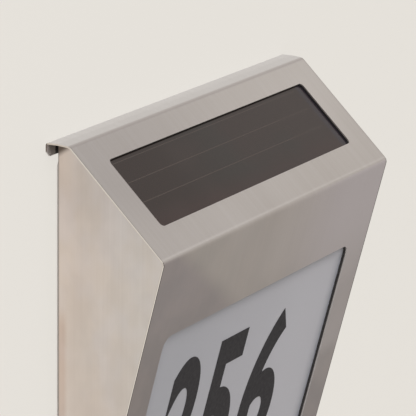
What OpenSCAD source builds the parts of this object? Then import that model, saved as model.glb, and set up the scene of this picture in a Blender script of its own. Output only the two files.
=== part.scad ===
// Solar house-number wall light. A folded stainless shell hangs on a flat wall plate. It carries
// a solar panel in its sloping top and an opal window in its front, and a moulded housing behind
// them holds the battery, the electronics and the LEDs.
// Millimetres. The wall is the plane y = 0, the front faces -Y and +Z is up. The origin lies on
// the wall, midway between the two upper wall screws. A depth is a distance from the wall.

/* [Shell] */
// Width of the folded shell
shell_w = 180; // [176:1:200]
// Height of the folded shell
shell_h = 190; // [186:1:200]
// Depth of the shell at its front corner
shell_d = 52; // [49:0.5:58]
// Depth of the shell at its bottom
bottom_d = 13.6; // [13:0.2:16]
// Thickness of the stainless sheet
sheet_t = 0.6; // [0.5:0.1:0.8]
// Depth of the bend between the top strip and the solar slope
strip_d = 10.5; // [10:0.5:12]
// Rise in the middle of the top strip, which sheds water
strip_crown = 0.3; // [0.1:0.1:0.5]
// Drop from the top strip to the front corner
corner_drop = 38.8; // [37:0.2:41]
// Height of the lip that hooks behind the wall plate
lip_h = 5.7; // [4:0.1:6.2]
// Corner cut off the lip's free edge
lip_chamfer = 2; // [1:0.5:3]
// Gap between the wall and the rear edges of the cheeks
rear_gap = 4.9; // [4.9:0.1:5.5]
// Outer radius of the bend at the lip
lip_bend = 1.2; // [1:0.1:1.6]
// Outer radius of the bend above the solar slope
strip_bend = 3.5; // [2.5:0.5:4.5]
// Outer radius of the front corner
corner_bend = 2.6; // [2:0.2:4]
// Outer radius of the bend at the bottom
foot_bend = 1.6; // [1.2:0.2:2]
// How far the cheeks sit inside the shell's ends
cheek_inset = 0.25; // [0.1:0.05:0.5]
// Width of the cheeks' rear flanges
cheek_flange = 9; // [8.6:0.1:9.2]
// Clearance along the welded seams
seam = 0.05; // [0.05:0.01:0.15]

/* [Solar panel] */
// Steel left beside the cut-out over the panel
solar_side = 14.75; // [14:0.25:20]
// Length of the cut-out down the slope
solar_l = 32.6; // [28:0.2:33]
// Distance from the bend down to the cut-out
solar_drop = 10.5; // [10:0.25:12]
// Corner radius of the cut-out
solar_r = 2; // [1:0.5:4]
// Thickness of the panel
panel_t = 2.2; // [2:0.1:2.6]
// Lap of the panel behind the sheet on each side
panel_lap = 2.5; // [2:0.25:3]
// Thickness of the panel's gasket
panel_gasket_t = 0.6; // [0.5:0.1:1.5]

/* [Number window] */
// Steel left beside the window
window_side = 15.7; // [15:0.1:20]
// Steel left below the window
window_foot = 19.6; // [18:0.2:30]
// Distance from the front corner down to the window
window_drop = 35.6; // [34.6:0.2:37]
// Corner radius of the window
window_r = 5; // [3:0.5:7]
// Thickness of the opal sheet
opal_t = 3; // [2.5:0.25:3.5]
// Lap of the opal sheet behind the steel on each side
opal_lap = 3.7; // [3:0.1:4]
// Thickness of the opal sheet's gasket
opal_gasket_t = 1.1; // [0.8:0.1:1.8]
// How far both gaskets show inside their cut-outs
gasket_show = 0.1; // [0.1:0.1:0.8]

/* [Housing] */
// Wall behind the panel and the opal sheet
seat_wall = 2; // [1.6:0.2:2.4]
// Side, top and bottom walls of the housing
wall = 2.6; // [2.4:0.1:2.8]
// Thickness of the rim flange behind the cheeks
rim_t = 1.5; // [1.3:0.1:1.6]
// Gap between the housing's rim and the cheeks
rim_gap = 1.65; // [1.5:0.05:2.5]
// Wall of the raised frames around the panel and the opal sheet
frame_t = 1.2; // [1:0.1:1.4]
// Clearance around the panel and the opal sheet
fit = 0.3; // [0.2:0.05:0.4]
// Drop from the shell's top to the housing
housing_drop = 6; // [6:0.25:7]
// Rise from the shell's bottom to the housing
housing_rise = 10; // [9:0.5:12]
// Drop from the shell's top to the partition over the light chamber
partition_drop = 68; // [67:0.5:70]
// Thickness of the partition
partition_t = 2; // [1.6:0.2:2.4]
// Thickness of the rear cover
cover_t = 1.5; // [1.3:0.1:1.6]
// Thickness of the rear cover's gasket
cover_gasket_t = 1; // [0.8:0.1:1.2]
// Width of the ledge that the gasket lies on
ledge = 1.3; // [1:0.1:1.4]
// Radius of the cover screws' bosses
boss_r = 3.6; // [3:0.2:4]

/* [Battery bay] */
// Radius of the battery cell
cell_r = 7.1; // [7:0.05:7.2]
// Length of the cell with its button
cell_l = 50.2; // [49.5:0.1:50.5]
// Distance of the cell's middle from the light's centre line, to the left
cell_offset = 12; // [10:0.5:12]
// Drop from the shell's top to the cell's axis
cell_drop = 51; // [50:0.5:52]
// Room for the contact spring
spring_room = 5; // [4:0.5:6]
// Thickness of the contact plates
contact_t = 0.4; // [0.3:0.1:0.5]
// Thickness of the battery door
door_t = 1.5; // [1.3:0.1:1.6]
// Thickness of the door's seal
seal_t = 0.8; // [0.6:0.1:1]
// Width of the door's seal
seal_w = 2; // [1.5:0.25:2.25]
// Radius of the door's hinge pin
pin_r = 0.7; // [0.6:0.05:0.8]
// Radius of the door's knuckles
knuckle_r = 1.25; // [1.15:0.05:1.3]
// Length of one knuckle
knuckle_l = 10; // [8:1:12]

/* [Electronics] */
// Width of the control board
board_w = 42; // [40:1:42]
// Height of the control board
board_h = 34; // [32:1:36]
// Thickness of the circuit boards
board_t = 1.6; // [1.2:0.2:1.6]
// Radius of the button's cap
button_r = 3.9; // [3.5:0.1:4]
// Travel of the button
button_travel = 1.5; // [1:0.1:1.5]
// Number of LEDs
led_count = 4; // [2:1:6]
// Distance between the LEDs
led_pitch = 32; // [20:1:32]
// Gap between the LED board's ends and the housing
led_board_gap = 9.1; // [7:0.1:12]
// Width of the LED board
led_board_w = 10; // [9:1:12]

/* [Wall plate] */
// Drop from the shell's top to the upper wall screws
hook_rise = 26; // [24:0.5:28]
// Width of the plate
plate_w = 120; // [118:1:124]
// Thickness of the plate
plate_t = 1; // [0.8:0.1:1.2]
// Distance between the wall screws, side to side
screw_pitch_x = 90; // [84:1:92]
// Distance between the upper and lower wall screws
screw_pitch_z = 120; // [118:1:124]
// Radius of the wall screw holes
screw_hole_r = 2.25; // [2:0.05:2.5]
// Length of the upper screw slots
slot_l = 9; // [8:0.5:10]
// Radius of the lock screw
lock_r = 1.5; // [1.25:0.25:1.75]
// Length of the lock screw's shank
lock_l = 10; // [9:0.5:11]

/* [Hidden] */
$fn = 48;
// Cuts run past the faces that they open by this much
over = 1;
// Steps in each rounded corner of an outline
bend_steps = 8;

// Heights
top_z = hook_rise;
bottom_z = top_z - shell_h;
corner_z = top_z - corner_drop;
slope_z = top_z - strip_crown;
// Bend radius of the crown, and radius of the weep holes
crown_bend = 12;
weep_r = 1.5;
housing_top = top_z - housing_drop;
housing_bottom = bottom_z + housing_rise;
partition_z = top_z - partition_drop;
cell_z = top_z - cell_drop;
cell_x = -cell_offset;

// Directions of the solar slope and of the front face
slope_tilt = atan2(slope_z - corner_z, shell_d - strip_d);
lean = atan2(shell_d - bottom_d, corner_z - bottom_z);

// Play between parts that are put together by hand
play = 0.2;
// Play of shafts in their bores
running = 0.05;

// Cut-outs, and the sizes of what lies behind them
solar_w = shell_w - 2 * solar_side;
window_w = shell_w - 2 * window_side;
window_h = norm([shell_d - bottom_d, corner_z - bottom_z]) - window_drop - window_foot;
panel_w = solar_w + 2 * panel_lap;
panel_l = solar_l + 2 * panel_lap;
opal_w = window_w + 2 * opal_lap;
opal_h = window_h + 2 * opal_lap;
solar_v = solar_drop + solar_l / 2;
window_v = window_drop + window_h / 2;
panel_seat = sheet_t + panel_gasket_t + panel_t;
opal_seat = sheet_t + opal_gasket_t + opal_t;

// Depths of the rear parts
rim_d = rear_gap - rim_t;
rim_w = shell_w - 2 * (cheek_inset + sheet_t + rim_gap);
cover_in = rim_d + cover_t;
ledge_d = cover_in + cover_gasket_t;
housing_w = max(opal_w, panel_w) + 2 * (fit + frame_t + play);
cavity_w = housing_w - 2 * wall;
rebate_w = cavity_w + 2 * ledge;
rebate_top = housing_top - wall + ledge;
rebate_bottom = housing_bottom + wall - ledge;
rebate_r = 3;
cavity_r = 2;
// Corner radii of the mouldings, the panel and the opal sheet
mould_r = 2;
panel_r = 1;
opal_r = 2;
// How far the opal sheet's seat shows inside the window
seat_show = 1;

// Screws: cover, housing, board and LED board
screw_r = 1.25;
screw_l = 6;
screw_head_r = 2.6;
pan_head_r = 2.2;
pan_head_t = 1;
small_screw_r = 1;
small_head_t = 1.2;
cover_screw_x = cavity_w / 2 - boss_r - play;
cover_screw_top = housing_top - wall - boss_r - play;
cover_screw_mid = partition_z + boss_r + play;
cover_screw_low = housing_bottom + wall + boss_r;
cover_screw_z = [cover_screw_top, cover_screw_mid, cover_screw_low];
// Housing screws, through the cheeks' flanges, and the notch at each end of a flange
flange_screw_in = 6;
flange_screw_drop = 14;
flange_screw_rise = 12;
flange_notch = 6;
housing_screw_x = shell_w / 2 - cheek_inset - sheet_t - flange_screw_in;
housing_screw_z = [housing_top - flange_screw_drop, (housing_top + housing_bottom) / 2,
    housing_bottom + flange_screw_rise];

// Battery bay
cell_d = cover_in + fit + cell_r;
tub_w = cell_l + spring_room + 2 * contact_t;
tub_h = 2 * (cell_r + fit);
tub_floor = cell_d + cell_r + fit;
tub_wall = 1.5;
tub_r = 0.8;
contact_w = 11;
seal_in_w = tub_w + 2 * fit;
seal_in_h = tub_h + 2 * fit;
seal_out_w = seal_in_w + 2 * seal_w;
seal_out_h = seal_in_h + 2 * seal_w;
seat_d = cover_in + seal_t;
hinge_z = cell_z - seal_out_h / 2 - fit - knuckle_r;
hinge_d = rim_d + door_t / 2 + play;
door_w = seal_out_w + 2 * play;
door_top = cell_z + seal_out_h / 2 + play;
door_foot = hinge_z + knuckle_r + 2 * play;
bay_w = door_w + 2 * play;
bay_top = door_top + play;
bay_bottom = hinge_z - knuckle_r - play;
knuckle_x = tub_w / 4;
pin_l = tub_w - 2;
// Clearance that still grips the pin, and the finger scoop and grip grooves at the door's edge
pin_grip = 0.02;
scoop_r = 4;
door_r = 0.6;
grip_r = 0.4;
grip_w = 12;
grip_drop = 4;
grip_rows = 5;

// Control board, midway between the tub and the screw bosses, and button
board_x = (cell_x + tub_w / 2 + tub_wall + cover_screw_x - boss_r) / 2;
board_z = cell_z + 6;
post_r = 2.6;
post_inset = 3;
board_r = 1;
button_x = board_x - 9;
button_z = board_z + 2;
button_out = 1.7;
collar_l = 3;
collar_r = button_r + 2;
button_flange_t = 1;
button_flange = 1.2;
plunger_l = 1.1;
plunger_r = 1.5;
// Hollow in the button's face, and groove for its seal
dish_r = 7.4;
dish_depth = 0.4;
groove_t = 1;
collar_end = cover_in + collar_l;
button_back = collar_end + play + button_flange_t + plunger_l;
switch_h = 5;
board_d = button_back + button_travel + running + switch_h;
board_front = board_d + board_t;

// LED board
led_board_l = cavity_w - 2 * led_board_gap;
led_board_t = 1.2;
led_d = 20;
led_board_z = partition_z - partition_t - led_board_t;
led_screw_in = 5;
led_screw_x = led_board_l / 2 - led_screw_in;
led_boss_h = 6;
led_boss_r = 3;
led_w = 3.5;
led_l = 2.8;
led_t = 1.4;
// Slot in the partition for the LED board's leads
lead_slot_w = 12;
lead_slot_d = 6;

// Wall plate
tongue_gap = sheet_t + 0.4;
tongue_top = top_z - strip_crown / 2 - sheet_t - seam;
joggle_drop = 13;
joggle_z = top_z - joggle_drop;
joggle_bend = 2;
tab_z = bottom_z - play;
tab_w = 30;
tab_edge = 5;
lock_d = rear_gap + (bottom_d - rear_gap) / 2;
tab_d = lock_d + tab_edge;
// Steel left round the wall screws
plate_edge = 12;
plate_foot = -screw_pitch_z - plate_edge;
plate_r = 4;
cutout_w = 100;
cutout_r = 6;
cutout_drop = 8;
cutout_top = -cutout_drop;
cutout_bottom = plate_edge - screw_pitch_z;
pad_r = 4.5;
pad_drop = 32;
pad_rise = 10;
// Nut and head of the lock screw
nut_t = 2.4;
lock_head_t = 2;

// Range of half-width h about c
function about(c, h) = [c - h, c + h];
// Range of length l from a
function from(a, l) = [a, a + l];
// Unit vector from a to b
function toward(a, b) = (b - a) / norm(b - a);
// Left-hand normal of a direction
function left_of(v) = [-v[1], v[0]];
// An open path moved sideways by t to its left, with mitred corners
function shifted(path, t) = [for (i = [0:len(path) - 1])
    let (a = toward(path[max(i - 1, 0)], path[max(i, 1)]),
         b = toward(path[min(i, len(path) - 2)], path[min(i + 1, len(path) - 1)]),
         m = left_of(a) + left_of(b))
    path[i] + m * (2 * t / (m * m))];
// Arc that rounds corner p, between its neighbours a and b
function arc_at(p, a, b, r) =
    let (u = toward(p, a), v = toward(p, b), half = acos(u * v) / 2,
         centre = p + (u + v) / norm(u + v) * (r / sin(half)),
         start = p + u * (r / tan(half)) - centre, turn = cross(u, v) > 0 ? -1 : 1)
    [for (k = [0:bend_steps]) let (t = (180 - 2 * half) * k / bend_steps)
        centre + start * cos(t) + left_of(start) * (turn * sin(t))];
// A closed loop with each corner rounded by its own radius
function rounded(loop, radii) = [for (i = [0:len(loop) - 1])
    let (n = len(loop), p = loop[i])
    each radii[i] > 0 ? arc_at(p, loop[(i + n - 1) % n], loop[(i + 1) % n], radii[i]) : [p]];
// Sheet of thickness t on the right-hand side of a path, with outer bend radii
function folded(path, radii, t) =
    let (inner = shifted(path, -t), last = len(path) - 1)
    rounded(concat(path, [for (i = [last:-1:0]) inner[i]]),
        concat(radii, [for (i = [last:-1:0]) max(radii[i] - t, 0)]));
// Rounded rectangle about the origin
function plate_loop(w, h, r) =
    rounded([[-w, -h] / 2, [w, -h] / 2, [w, h] / 2, [-w, h] / 2], [r, r, r, r]);
// Where the line through p along u meets the line through q along v
function meet(p, u, q, v) = p + u * (cross(q - p, v) / cross(u, v));

// Side outlines, as [depth, height]
shell_path = [[0, top_z - lip_h], [0, top_z - strip_crown / 2], [strip_d / 2, top_z],
    [strip_d, slope_z], [shell_d, corner_z], [bottom_d, bottom_z], [rear_gap, bottom_z]];
shell_bends = [0, lip_bend, crown_bend, strip_bend, corner_bend, foot_bend, 0];
inside_path = shifted(shell_path, -sheet_t - seam);
cheek_loop = [[rear_gap, inside_path[2][1] - seam], inside_path[3], inside_path[4],
    inside_path[5], [rear_gap, inside_path[5][1]]];
cheek_bends = [0, strip_bend - sheet_t, corner_bend - sheet_t, foot_bend - sheet_t, 0];
slope_dir = [cos(slope_tilt), -sin(slope_tilt)];
front_dir = [-sin(lean), -cos(lean)];

// Outline that keeps its distance behind the slope and the front face
function housing_loop(behind_slope, behind_front, high, low, rear) =
    let (s = [strip_d, slope_z] - behind_slope * [sin(slope_tilt), cos(slope_tilt)],
         f = [shell_d, corner_z] - behind_front * [cos(lean), -sin(lean)])
    [[rear, high], meet([0, high], [1, 0], s, slope_dir), meet(s, slope_dir, f, front_dir),
        meet(f, front_dir, [0, low], [1, 0]), [rear, low]];

// Side outline drawn across the light, centred on x
module across(w, x = 0)
    translate([x - w / 2, 0, 0]) rotate([90, 0, 90]) linear_extrude(w) mirror([1, 0]) children();
// Frame on the solar slope: origin at the bend, +Y up the slope, +Z out of it
module on_slope() translate([0, -strip_d, slope_z]) rotate([slope_tilt, 0, 0]) children();
// Frame on the front face: origin at the front corner, +Y up the face, +Z out of it
module on_front() translate([0, -shell_d, corner_z]) rotate([90 + lean, 0, 0]) children();
// Slab with rounded corners from z = -down, t thick
module slab(w, h, r, down, t)
    translate([0, 0, -down]) linear_extrude(t) polygon(plate_loop(w, h, r));
// Frame with rounded corners, its wall added outside w by h
module ring(w, h, r, band, down, t) difference() {
    slab(w + 2 * band, h + 2 * band, r + band, down, t);
    slab(w, h, r, down + over, t + 2 * over);
}
// Upright slab between two depths, centred on x and z
module upright(w, h, r, d, x = 0, z = 0)
    translate([x, -d[0], z]) rotate([90, 0, 0])
        linear_extrude(d[1] - d[0]) polygon(plate_loop(w, h, r));
// Block between two x, two z and two depths
module block(x, z, d)
    translate([x[0], -d[1], z[0]]) cube([x[1] - x[0], d[1] - d[0], z[1] - z[0]]);
// Cylinder along Y between two depths
module bar(r, x, z, d)
    translate([x, -d[0], z]) rotate([90, 0, 0]) cylinder(r = r, h = d[1] - d[0]);
// Cylinder along X between two x
module axle(r, x, z, d)
    translate([x[0], -d, z]) rotate([0, 90, 0]) cylinder(r = r, h = x[1] - x[0]);

// Folded sheet: lip, crowned strip, solar slope, front face and foot, with their openings
module wrap_shell() color("silver") difference() {
    across(shell_w) polygon(folded(shell_path, shell_bends, sheet_t));
    on_slope() translate([0, -solar_v, 0]) slab(solar_w, solar_l, solar_r, sheet_t + over, 3 * over);
    on_front() translate([0, -window_v, 0])
        slab(window_w, window_h, window_r, sheet_t + over, 3 * over);
    for (side = [-1, 1]) {
        translate([side * shell_w / 2, 0, top_z - lip_h]) rotate([0, 45, 0])
            cube([sqrt(2) * lip_chamfer, 3 * over, sqrt(2) * lip_chamfer], center = true);
        translate([side * shell_w / 3, -lock_d, bottom_z - over]) cylinder(r = weep_r, h = 3 * over);
    }
    translate([0, -lock_d, bottom_z - over]) cylinder(r = lock_r + fit, h = 3 * over);
}

// End wall of the shell, with a rear flange bent inwards
module cheek(side) color("tan") {
    outer = shell_w / 2 - cheek_inset;
    plan = [[side * (outer - cheek_flange), -rear_gap], [side * outer, -rear_gap],
        [side * outer, -shell_d]];
    difference() {
        intersection() {
            across(2 * shell_w) polygon(rounded(cheek_loop, cheek_bends));
            translate([0, 0, bottom_z - over]) linear_extrude(shell_h + 2 * over)
                polygon(folded(side < 0 ? [for (i = [2:-1:0]) plan[i]] : plan,
                    [0, 2 * sheet_t, 0], sheet_t));
        }
        for (z = housing_screw_z)
            bar(screw_r + running, side * housing_screw_x, z, [rim_d, rear_gap + 2 * over]);
        flange_x = side * (outer - sheet_t - cheek_flange / 2 - over);
        for (z = [top_z, bottom_z])
            translate([flange_x, -rear_gap, z])
                cube([cheek_flange, 4 * over, 2 * flange_notch], center = true);
    }
}
module left_cheek() cheek(-1);
module right_cheek() cheek(1);

// Rubber frames between the sheet and what it holds
module gasket(w, h, lap, r, t) difference() {
    slab(w + 2 * lap, h + 2 * lap, r, sheet_t + t, t);
    slab(w - 2 * gasket_show, h - 2 * gasket_show, r - gasket_show, sheet_t + t + over, t + 2 * over);
}
module solar_gasket() color("dimgray") on_slope() translate([0, -solar_v, 0])
    gasket(solar_w, solar_l, panel_lap, solar_r, panel_gasket_t);
module opal_gasket() color("dimgray") on_front() translate([0, -window_v, 0])
    gasket(window_w, window_h, opal_lap, window_r, opal_gasket_t);

// Glass panel with thin-film cells
module solar_panel() color("darkslategray") on_slope() translate([0, -solar_v, 0])
    slab(panel_w, panel_l, panel_r, panel_seat, panel_t);
// Opal acrylic sheet that shows the number
module opal_diffuser() color("gainsboro") on_front() translate([0, -window_v, 0])
    slab(opal_w, opal_h, opal_r, opal_seat, opal_t);

// Solid inside the housing's outer and inner walls
module housing_block() across(housing_w) polygon(rounded(
    housing_loop(panel_seat, opal_seat, housing_top, housing_bottom, rim_d),
    [0, mould_r, 2 * mould_r, mould_r, 0]));
module housing_cavity() across(cavity_w) polygon(rounded(
    housing_loop(panel_seat + seat_wall, opal_seat + seat_wall, housing_top - wall,
        housing_bottom + wall, 0), [0, mould_r / 2, mould_r, mould_r / 2, 0]));
// Moulded housing: a tub open to the rear, with a rim, a partition and raised seats
module inner_housing() color("white") difference() {
    union() {
        difference() {
            union() {
                housing_block();
                upright(rim_w, housing_top - housing_bottom, 2 * mould_r, [rim_d, rear_gap],
                    0, (housing_top + housing_bottom) / 2);
                on_slope() translate([0, -solar_v, 0]) ring(panel_w + 2 * fit, panel_l + 2 * fit,
                    panel_r, frame_t, panel_seat + over, panel_seat + over - sheet_t - play);
                on_front() translate([0, -window_v, 0]) ring(opal_w + 2 * fit, opal_h + 2 * fit,
                    opal_r, frame_t, opal_seat + over, opal_seat + over - sheet_t - play);
            }
            upright(rebate_w, rebate_top - rebate_bottom, rebate_r, [rim_d - over, ledge_d],
                0, (rebate_top + rebate_bottom) / 2);
            difference() {
                housing_cavity();
                block([-housing_w, housing_w], [partition_z - partition_t, partition_z],
                    [ledge_d, 2 * shell_d]);
            }
            on_front() translate([0, -window_v, 0])
                slab(window_w - 2 * seat_show, window_h - 2 * seat_show, window_r,
                    opal_seat + seat_wall + over, 2 * seat_wall);
        }
        intersection() {
            housing_block();
            cover_bosses();
        }
        for (side = [-1, 1]) translate([side * led_screw_x, -led_d, partition_z - partition_t])
            cylinder(r = led_boss_r, h = led_boss_h);
    }
    for (side = [-1, 1]) {
        for (z = cover_screw_z)
            bar(screw_r + running, side * cover_screw_x, z, [0, rim_d + screw_l + 2 * play]);
        for (z = housing_screw_z)
            bar(screw_r + fit, side * housing_screw_x, z, [0, rear_gap + over]);
        translate([side * led_screw_x, -led_d, partition_z - partition_t - over])
            cylinder(r = small_screw_r + running, h = led_boss_h);
    }
    block(about(board_x, lead_slot_w / 2), about(partition_z, 2 * partition_t),
        about(led_d + led_board_w, lead_slot_d / 2));
}
// Posts for the cover screws, from the seats back to the cover
module cover_bosses() for (side = [-1, 1], z = cover_screw_z) {
    bar(boss_r, side * cover_screw_x, z, [cover_in + running, 2 * shell_d]);
    block(about(side * (cover_screw_x + boss_r), boss_r / 2), about(z, boss_r / 2),
        [ledge_d, 2 * shell_d]);
}

// Rear cover, with the battery tub, the board posts and the button's collar moulded on
module rear_cover() color("whitesmoke") difference() {
    bay_h = bay_top - bay_bottom;
    bay_z = (bay_top + bay_bottom) / 2;
    union() {
        upright(rebate_w - 2 * play, rebate_top - rebate_bottom - 2 * play, rebate_r - play,
            [rim_d, cover_in], 0, (rebate_top + rebate_bottom) / 2);
        upright(bay_w + 2 * tub_wall, bay_h + 2 * tub_wall, mould_r, [rim_d, seat_d + tub_wall],
            cell_x, bay_z);
        upright(tub_w + 2 * tub_wall, tub_h + 2 * tub_wall, mould_r, [cover_in, tub_floor + tub_wall],
            cell_x, cell_z);
        bar(collar_r, button_x, button_z, [rim_d, collar_end]);
        board_spots() bar(post_r, 0, 0, [cover_in - over, board_d]);
    }
    difference() {
        upright(bay_w, bay_h, mould_r / 2, [0, seat_d], cell_x, bay_z);
        difference() {
            union() {
                axle(knuckle_r, about(cell_x, pin_l / 2), hinge_z, hinge_d);
                block(about(cell_x, pin_l / 2), about(hinge_z, knuckle_r),
                    [hinge_d, seat_d + over]);
            }
            for (side = [-1, 1]) block(about(cell_x + side * knuckle_x, knuckle_l / 2 + play),
                about(hinge_z, 2 * knuckle_r), [0, seat_d]);
        }
    }
    upright(tub_w, tub_h, tub_r, [0, tub_floor], cell_x, cell_z);
    axle(pin_r + pin_grip, about(cell_x, pin_l / 2 + play), hinge_z, hinge_d);
    bar(scoop_r, cell_x, bay_top + scoop_r / 2, [0, rim_d + cover_t / 2]);
    bar(button_r + 2 * running, button_x, button_z, [0, 2 * collar_end]);
    bar(button_r + groove_t, button_x, button_z, about(collar_end - collar_l / 2, groove_t / 2));
    board_spots() bar(small_screw_r + running, 0, 0, [cover_in + over, board_d + over]);
    for (side = [-1, 1], z = cover_screw_z) {
        bar(screw_r + play, side * cover_screw_x, z, [0, 2 * cover_in]);
        translate([side * cover_screw_x, -rim_d, z]) rotate([90, 0, 0])
            cylinder(r1 = screw_head_r + play / 2, r2 = screw_r + play / 2, h = cover_t - play);
    }
}
// The four corners where the control board is screwed down
module board_spots() for (i = [-1, 1], j = [-1, 1])
    translate([board_x + i * (board_w / 2 - post_inset), 0, board_z + j * (board_h / 2 - post_inset)])
        children();

module cover_gasket() color("dimgray") translate([0, 0, (rebate_top + rebate_bottom) / 2])
    difference() {
        h = rebate_top - rebate_bottom;
        upright(rebate_w - 2 * play, h - 2 * play, rebate_r - play, [cover_in, ledge_d]);
        upright(cavity_w, h - 2 * ledge, cavity_r, [0, 2 * ledge_d]);
    }

// Countersunk and pan-head screws along Y
module sunk_screw(x, z, l) {
    translate([x, -rim_d, z]) rotate([90, 0, 0])
        cylinder(r1 = screw_head_r, r2 = screw_r, h = cover_t - play);
    bar(screw_r, x, z, [rim_d + cover_t - play, rim_d + l]);
}
module cover_screws() color("lightgray") for (side = [-1, 1], z = cover_screw_z)
    sunk_screw(side * cover_screw_x, z, screw_l);
module housing_screws() color("lightgray") for (side = [-1, 1], z = housing_screw_z) {
    bar(pan_head_r, side * housing_screw_x, z, [rim_d - pan_head_t, rim_d]);
    bar(screw_r, side * housing_screw_x, z, [rim_d, rim_d + screw_l]);
}

// Battery door, hinged at its foot, with a pair of knuckles
module battery_door() color("whitesmoke") difference() {
    union() {
        upright(door_w, door_top - door_foot, door_r, [rim_d, rim_d + door_t],
            cell_x, (door_top + door_foot) / 2);
        for (side = [-1, 1]) {
            stretch = about(cell_x + side * knuckle_x, knuckle_l / 2);
            block(stretch, [hinge_z, door_foot + over], [rim_d, rim_d + door_t]);
            axle(knuckle_r, stretch, hinge_z, hinge_d);
        }
    }
    axle(pin_r + running, about(cell_x, tub_w / 2), hinge_z, hinge_d);
    for (i = [0:grip_rows - 1])
        axle(grip_r, about(cell_x, grip_w / 2), door_top - grip_drop + 3 * grip_r * (i - 2), rim_d);
}
module hinge_pin() color("silver") axle(pin_r, about(cell_x, pin_l / 2), hinge_z, hinge_d);
module door_seal() color("dimgray") difference() {
    upright(seal_out_w, seal_out_h, mould_r, [cover_in, seat_d], cell_x, cell_z);
    upright(seal_in_w, seal_in_h, mould_r / 2, [0, 2 * seat_d], cell_x, cell_z);
}

// Rechargeable cell, lying across the light with its button to the right
module battery_cell() color("seagreen") {
    cell_end = cell_x + tub_w / 2 - contact_t;
    crimp = 0.6;
    cap_r = 2.8;
    cap_l = 1.4;
    cap_edge = 0.3;
    shoulder = cell_l - cap_l;
    translate([cell_end - cell_l, -cell_d, cell_z]) rotate([0, 90, 0]) rotate_extrude()
        polygon([[0, 0], [cell_r - crimp, 0], [cell_r, crimp], [cell_r, shoulder - crimp],
            [cell_r - crimp, shoulder], [cap_r, shoulder], [cap_r, cell_l - cap_edge],
            [cap_r - cap_edge, cell_l], [0, cell_l]]);
}
// Coil contact for the cell's flat end: a closed sweep of rings along a helix
module battery_spring() color("gold") {
    wire_r = 0.4;
    coil_r = 4;
    turns = 4;
    sides = 8;
    steps = 12 * turns;
    weld = wire_r / 4;
    climb = spring_room - 2 * wire_r + weld - running;
    start = cell_x - tub_w / 2 + contact_t + wire_r - weld;
    points = [for (i = [0:steps], j = [0:sides - 1])
        let (a = 360 * turns * i / steps, b = 360 * j / sides, r = coil_r + wire_r * cos(b))
        [start + climb * i / steps + wire_r * sin(b), -cell_d + r * cos(a), cell_z + r * sin(a)]];
    skin = [for (i = [0:steps - 1], j = [0:sides - 1]) let (k = (j + 1) % sides)
        each [[i * sides + j, i * sides + k, (i + 1) * sides + k],
            [i * sides + j, (i + 1) * sides + k, (i + 1) * sides + j]]];
    ends = [[for (j = [sides - 1:-1:0]) j], [for (j = [0:sides - 1]) steps * sides + j]];
    polyhedron(points, concat(skin, ends));
    block(from(cell_x - tub_w / 2, contact_t), about(cell_z, contact_w / 2),
        about(cell_d, contact_w / 2));
}
module battery_contact() color("gold")
    block(from(cell_x + tub_w / 2 - contact_t, contact_t), about(cell_z, contact_w / 2),
        about(cell_d, contact_w / 2));

// Control board and what is soldered to it
module control_board() color("darkgreen") difference() {
    upright(board_w, board_h, board_r, [board_d, board_front], board_x, board_z);
    board_spots() bar(small_screw_r + play, 0, 0, [0, 2 * board_front]);
}
module board_screws() color("lightgray") board_spots() {
    bar(2 * small_screw_r, 0, 0, from(board_front, small_head_t));
    bar(small_screw_r, 0, 0, [board_d - 4 * small_screw_r, board_front]);
}
module tact_switch() color("black") {
    body_w = 6;
    body_t = 3.5;
    body_r = 0.5;
    stem_r = 1.7;
    upright(body_w, body_w, body_r, [board_d - body_t, board_d], button_x, button_z);
    bar(stem_r, button_x, button_z, [board_d - switch_h, board_d - body_t]);
}
module charge_chip() color("black") {
    chip_x = board_x + 4;
    chip_z = board_z + 7;
    body_w = 4;
    body_h = 5;
    body_r = 0.3;
    body_t = 1.5;
    lift = 0.15;
    leg_w = 0.4;
    leg_t = 0.2;
    leg_foot = 1;
    leg_pitch = 1.27;
    upright(body_w, body_h, body_r, from(board_front + lift, body_t), chip_x, chip_z);
    for (i = [-1.5:1.5], side = [-1, 1]) {
        level = about(chip_z + leg_pitch * i, leg_w / 2);
        block(about(chip_x + side * (body_w + leg_foot) / 2, leg_foot / 2), level,
            from(board_front, leg_t));
        block(about(chip_x + side * body_w / 2, leg_t), level,
            from(board_front, lift + body_t / 2));
    }
}
module inductor() color("saddlebrown") {
    drum_x = board_x - 6;
    drum_z = board_z - 5;
    drum_r = 4;
    wound_r = 3.4;
    drum_h = 5.5;
    flange = 0.8;
    slant = 0.3;
    translate([drum_x, -board_front, drum_z]) rotate([90, 0, 0]) rotate_extrude()
        polygon([[0, 0], [drum_r, 0], [drum_r, flange], [wound_r, flange + slant],
            [wound_r, drum_h - flange - slant], [drum_r, drum_h - flange], [drum_r, drum_h],
            [0, drum_h]]);
}
module capacitor() color("darkblue") {
    can_x = board_x + 7;
    can_z = board_z - 6;
    can_r = 3.15;
    can_h = 7.4;
    bead = 0.3;
    bead_z = 1;
    translate([can_x, -board_front, can_z]) rotate([90, 0, 0]) rotate_extrude()
        polygon([[0, 0], [can_r, 0], [can_r, bead_z], [can_r - bead, bead_z + bead],
            [can_r, bead_z + 2 * bead], [can_r, can_h - bead], [can_r - bead, can_h], [0, can_h]]);
}
// White two-pole sockets, open away from the board
module board_connectors() color("ivory") {
    socket_w = 5;
    socket_h = 6;
    socket_t = 6;
    skin = 0.8;
    pitch = 8;
    middle = board_x - board_w / 2 + board_r + socket_w / 2;
    for (i = [-1:1]) translate([middle, 0, board_z + pitch * i]) difference() {
        block(about(0, socket_w / 2), about(0, socket_h / 2), from(board_front, socket_t));
        block(about(0, socket_w / 2 - skin), about(0, socket_h / 2 - skin),
            from(board_front + skin, socket_t));
    }
}

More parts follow.
